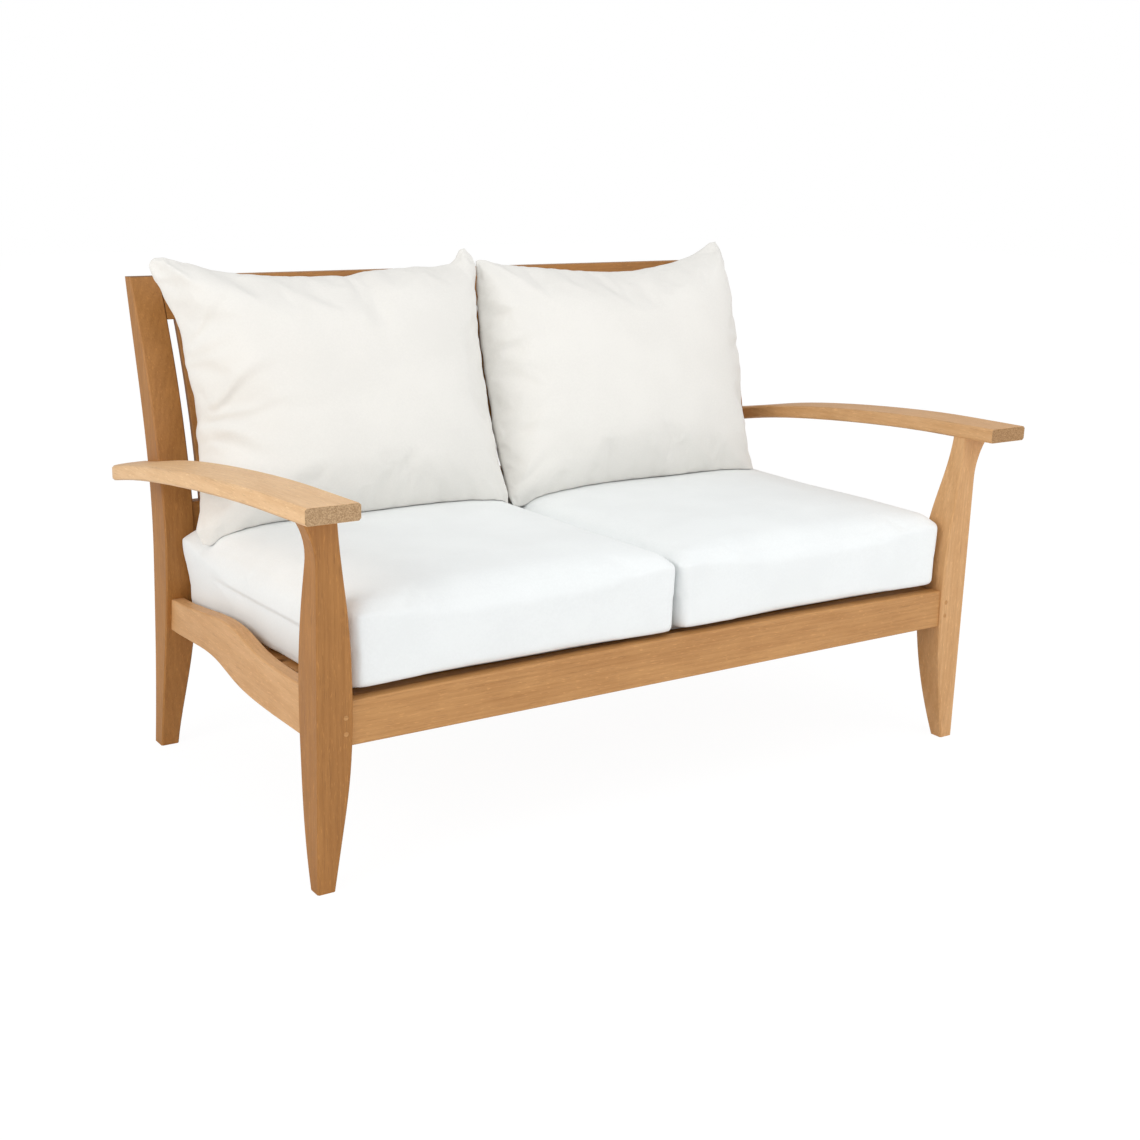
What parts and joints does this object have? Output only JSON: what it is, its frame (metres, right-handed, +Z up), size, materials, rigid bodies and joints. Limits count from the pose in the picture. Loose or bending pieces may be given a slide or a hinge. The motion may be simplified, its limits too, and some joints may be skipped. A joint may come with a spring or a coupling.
{
  "type": "patio loveseat",
  "caption": "Teak patio loveseat with curved wide arms, leaf-shaped tapered legs, a raked slatted back, and loose boxed seat cushions and knife-edge back cushions in off-white cloth.",
  "frame": {"origin": "on the ground, at the middle of the loveseat's overall width and depth", "axes": "+X to the right as seen from the front, -Y out of the front, +Z up"},
  "size_m": [1.514, 0.859, 0.9026],
  "materials": {
    "frame_teak": "satin",
    "post_teak": "satin",
    "platform_teak": "matte",
    "peg_teak": "satin",
    "cushion_cloth": "matte",
    "foam": "matte",
    "fibre_fill": "matte",
    "zip_tape": "matte"
  },
  "bodies": {
    "frame": {"arm_dowels": "peg_teak", "arm_left": "frame_teak", "arm_right": "frame_teak", "back_post_left": "post_teak", "back_post_right": "post_teak", "back_slat_01": "frame_teak", "back_slat_02": "frame_teak", "back_slat_03": "frame_teak", "back_slat_04": "frame_teak", "back_slat_05": "frame_teak", "back_slat_06": "frame_teak", "back_slat_07": "frame_teak", "back_slat_08": "frame_teak", "back_slat_09": "frame_teak", "back_slat_10": "frame_teak", "back_slat_11": "frame_teak", "back_slat_12": "frame_teak", "back_slat_13": "frame_teak", "back_slat_14": "frame_teak", "back_slat_15": "frame_teak", "centre_bearer": "platform_teak", "crest_rail": "frame_teak", "front_corner_block_left": "platform_teak", "front_corner_block_right": "platform_teak", "front_leg_left": "post_teak", "front_leg_right": "post_teak", "front_rail": "frame_teak", "joint_pegs": "peg_teak", "lower_back_rail": "frame_teak", "rear_corner_block_left": "platform_teak", "rear_corner_block_right": "platform_teak", "rear_rail": "frame_teak", "seat_cleat_left": "platform_teak", "seat_cleat_right": "platform_teak", "seat_slat_01": "platform_teak", "seat_slat_02": "platform_teak", "seat_slat_03": "platform_teak", "seat_slat_04": "platform_teak", "seat_slat_05": "platform_teak", "seat_slat_06": "platform_teak", "seat_slat_07": "platform_teak", "seat_slat_08": "platform_teak", "side_rail_left": "frame_teak", "side_rail_right": "frame_teak"},
    "seat_cushion_left": {"seat_cover_left": "cushion_cloth", "seat_foam_left": "foam", "seat_zip_left": "zip_tape"},
    "back_cushion_left": {"back_cover_left": "cushion_cloth", "back_fill_left": "fibre_fill", "back_zip_left": "zip_tape"},
    "seat_cushion_right": {"seat_cover_right": "cushion_cloth", "seat_foam_right": "foam", "seat_zip_right": "zip_tape"},
    "back_cushion_right": {"back_cover_right": "cushion_cloth", "back_fill_right": "fibre_fill", "back_zip_right": "zip_tape"}
  },
  "joints": [
    {"name": "seat_cushion_left_lift", "type": "slide", "parent": "frame", "child": "seat_cushion_left", "axis": [0, 0, 1], "range_m": [0, 0.6]},
    {"name": "back_cushion_left_lift", "type": "slide", "parent": "seat_cushion_left", "child": "back_cushion_left", "axis": [0, 0, 1], "range_m": [0, 0.45]},
    {"name": "seat_cushion_right_lift", "type": "slide", "parent": "frame", "child": "seat_cushion_right", "axis": [0, 0, 1], "range_m": [0, 0.6]},
    {"name": "back_cushion_right_lift", "type": "slide", "parent": "seat_cushion_right", "child": "back_cushion_right", "axis": [0, 0, 1], "range_m": [0, 0.45]}
  ]
}
